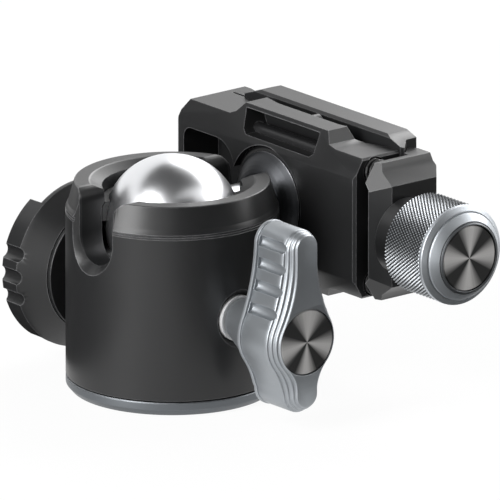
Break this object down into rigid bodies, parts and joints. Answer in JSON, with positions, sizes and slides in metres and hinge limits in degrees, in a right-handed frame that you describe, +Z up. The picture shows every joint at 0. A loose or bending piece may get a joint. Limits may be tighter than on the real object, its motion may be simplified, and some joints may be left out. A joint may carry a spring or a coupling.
{
  "type": "tripod ball head",
  "caption": "Compact tripod ball head with twin drop notches, wing lock lever, pan knob and a dovetail screw clamp holding a camera plate.",
  "frame": {"origin": "middle of the foot, in the mouth of the tripod thread", "axes": "+Z up along the pan axis, +X towards the lock lever and the clamp knob, +Y along the neck as it lies in its notch"},
  "size_m": [0.0681, 0.0527, 0.0388],
  "materials": {
    "black_anodised": "satin black anodised, fine blasted grain",
    "grey_anodised": "cool grey anodised, bead blasted, bright turned edges",
    "polished_chrome": "polished",
    "spun_disc": "dark, spun radial streaks",
    "dark_flange": "dark turned, bright rim",
    "steel": "bright turned",
    "bearing_polymer": "matte",
    "brass": "machined",
    "rubber": "matte ribbed"
  },
  "bodies": {
    "foot": {"base_plate": "black_anodised", "base_ring": "grey_anodised", "base_screws": "steel"},
    "shell": {"housing": "black_anodised", "pan_retainer": "steel", "pan_washer": "bearing_polymer", "thrust_washer": "bearing_polymer", "inner_floor": "black_anodised", "wave_spring": "steel", "wedge_block": "brass", "ball_cup": "bearing_polymer", "upper_liner": "bearing_polymer", "pan_shoe": "brass", "lock_bush": "steel", "pan_bush": "steel"},
    "lever": {"lock_lever": "grey_anodised", "lever_boss": "grey_anodised", "lever_disc": "spun_disc", "lock_screw": "steel"},
    "pan_brake": {"pan_knob": "black_anodised", "pan_hub": "black_anodised", "pan_cap": "spun_disc", "pan_screw": "steel"},
    "ball_and_neck": {"ball": "polished_chrome", "stem_flange": "dark_flange", "flange_ring": "bearing_polymer"},
    "clamp": {"clamp_body": "black_anodised", "stem_screw": "steel", "jaw_springs": "steel", "stop_pins": "steel"},
    "jaw": {"movable_jaw": "black_anodised", "jaw_washer": "steel", "guide_pins": "steel"},
    "clamp_spindle": {"clamp_knob": "grey_anodised", "knob_collar": "black_anodised", "knob_disc": "spun_disc", "clamp_screw": "steel"},
    "plate": {"quick_plate": "black_anodised", "plate_pads": "rubber", "screw_clip": "steel"},
    "plate_screw": {"camera_screw": "steel"}
  },
  "joints": [
    {"name": "pan", "type": "hinge", "parent": "foot", "child": "shell", "pos_m": [0, 0, 0], "axis": [0, 0, 1], "continuous": true},
    {"name": "lock_lever_turn", "type": "hinge", "parent": "shell", "child": "lever", "pos_m": [0.0172, 0, 0.0144], "axis": [1, 0, 0], "range_deg": [0, 120]},
    {"name": "pan_knob_turn", "type": "hinge", "parent": "shell", "child": "pan_brake", "pos_m": [-0.0172, 0, 0.0144], "axis": [-1, 0, 0], "range_deg": [0, 720]},
    {"name": "ball_tilt", "type": "hinge", "parent": "shell", "child": "ball_and_neck", "pos_m": [0, 0, 0.0258], "axis": [1, 0, 0], "range_deg": [0, 180]},
    {"name": "clamp_spin", "type": "hinge", "parent": "ball_and_neck", "child": "clamp", "pos_m": [0, 0.0172, 0.0258], "axis": [0, 1, 0], "continuous": true},
    {"name": "jaw_slide", "type": "slide", "parent": "clamp", "child": "jaw", "axis": [1, 0, 0], "range_m": [0, 0.004]},
    {"name": "clamp_knob_turn", "type": "hinge", "parent": "jaw", "child": "clamp_spindle", "pos_m": [0.0387, 0.02253, 0.0258], "axis": [1, 0, 0], "range_deg": [0, 1080]},
    {"name": "plate_slide", "type": "slide", "parent": "clamp", "child": "plate", "axis": [0, 0, 1], "range_m": [-0.026, 0.026]},
    {"name": "camera_screw_turn", "type": "hinge", "parent": "plate", "child": "plate_screw", "pos_m": [0.00266, 0.0295, 0.0258], "axis": [0, 1, 0], "continuous": true}
  ],
  "couplings": [
    {"joint": "jaw_slide", "follows": "clamp_knob_turn", "m_per_rad": 0.000199}
  ]
}
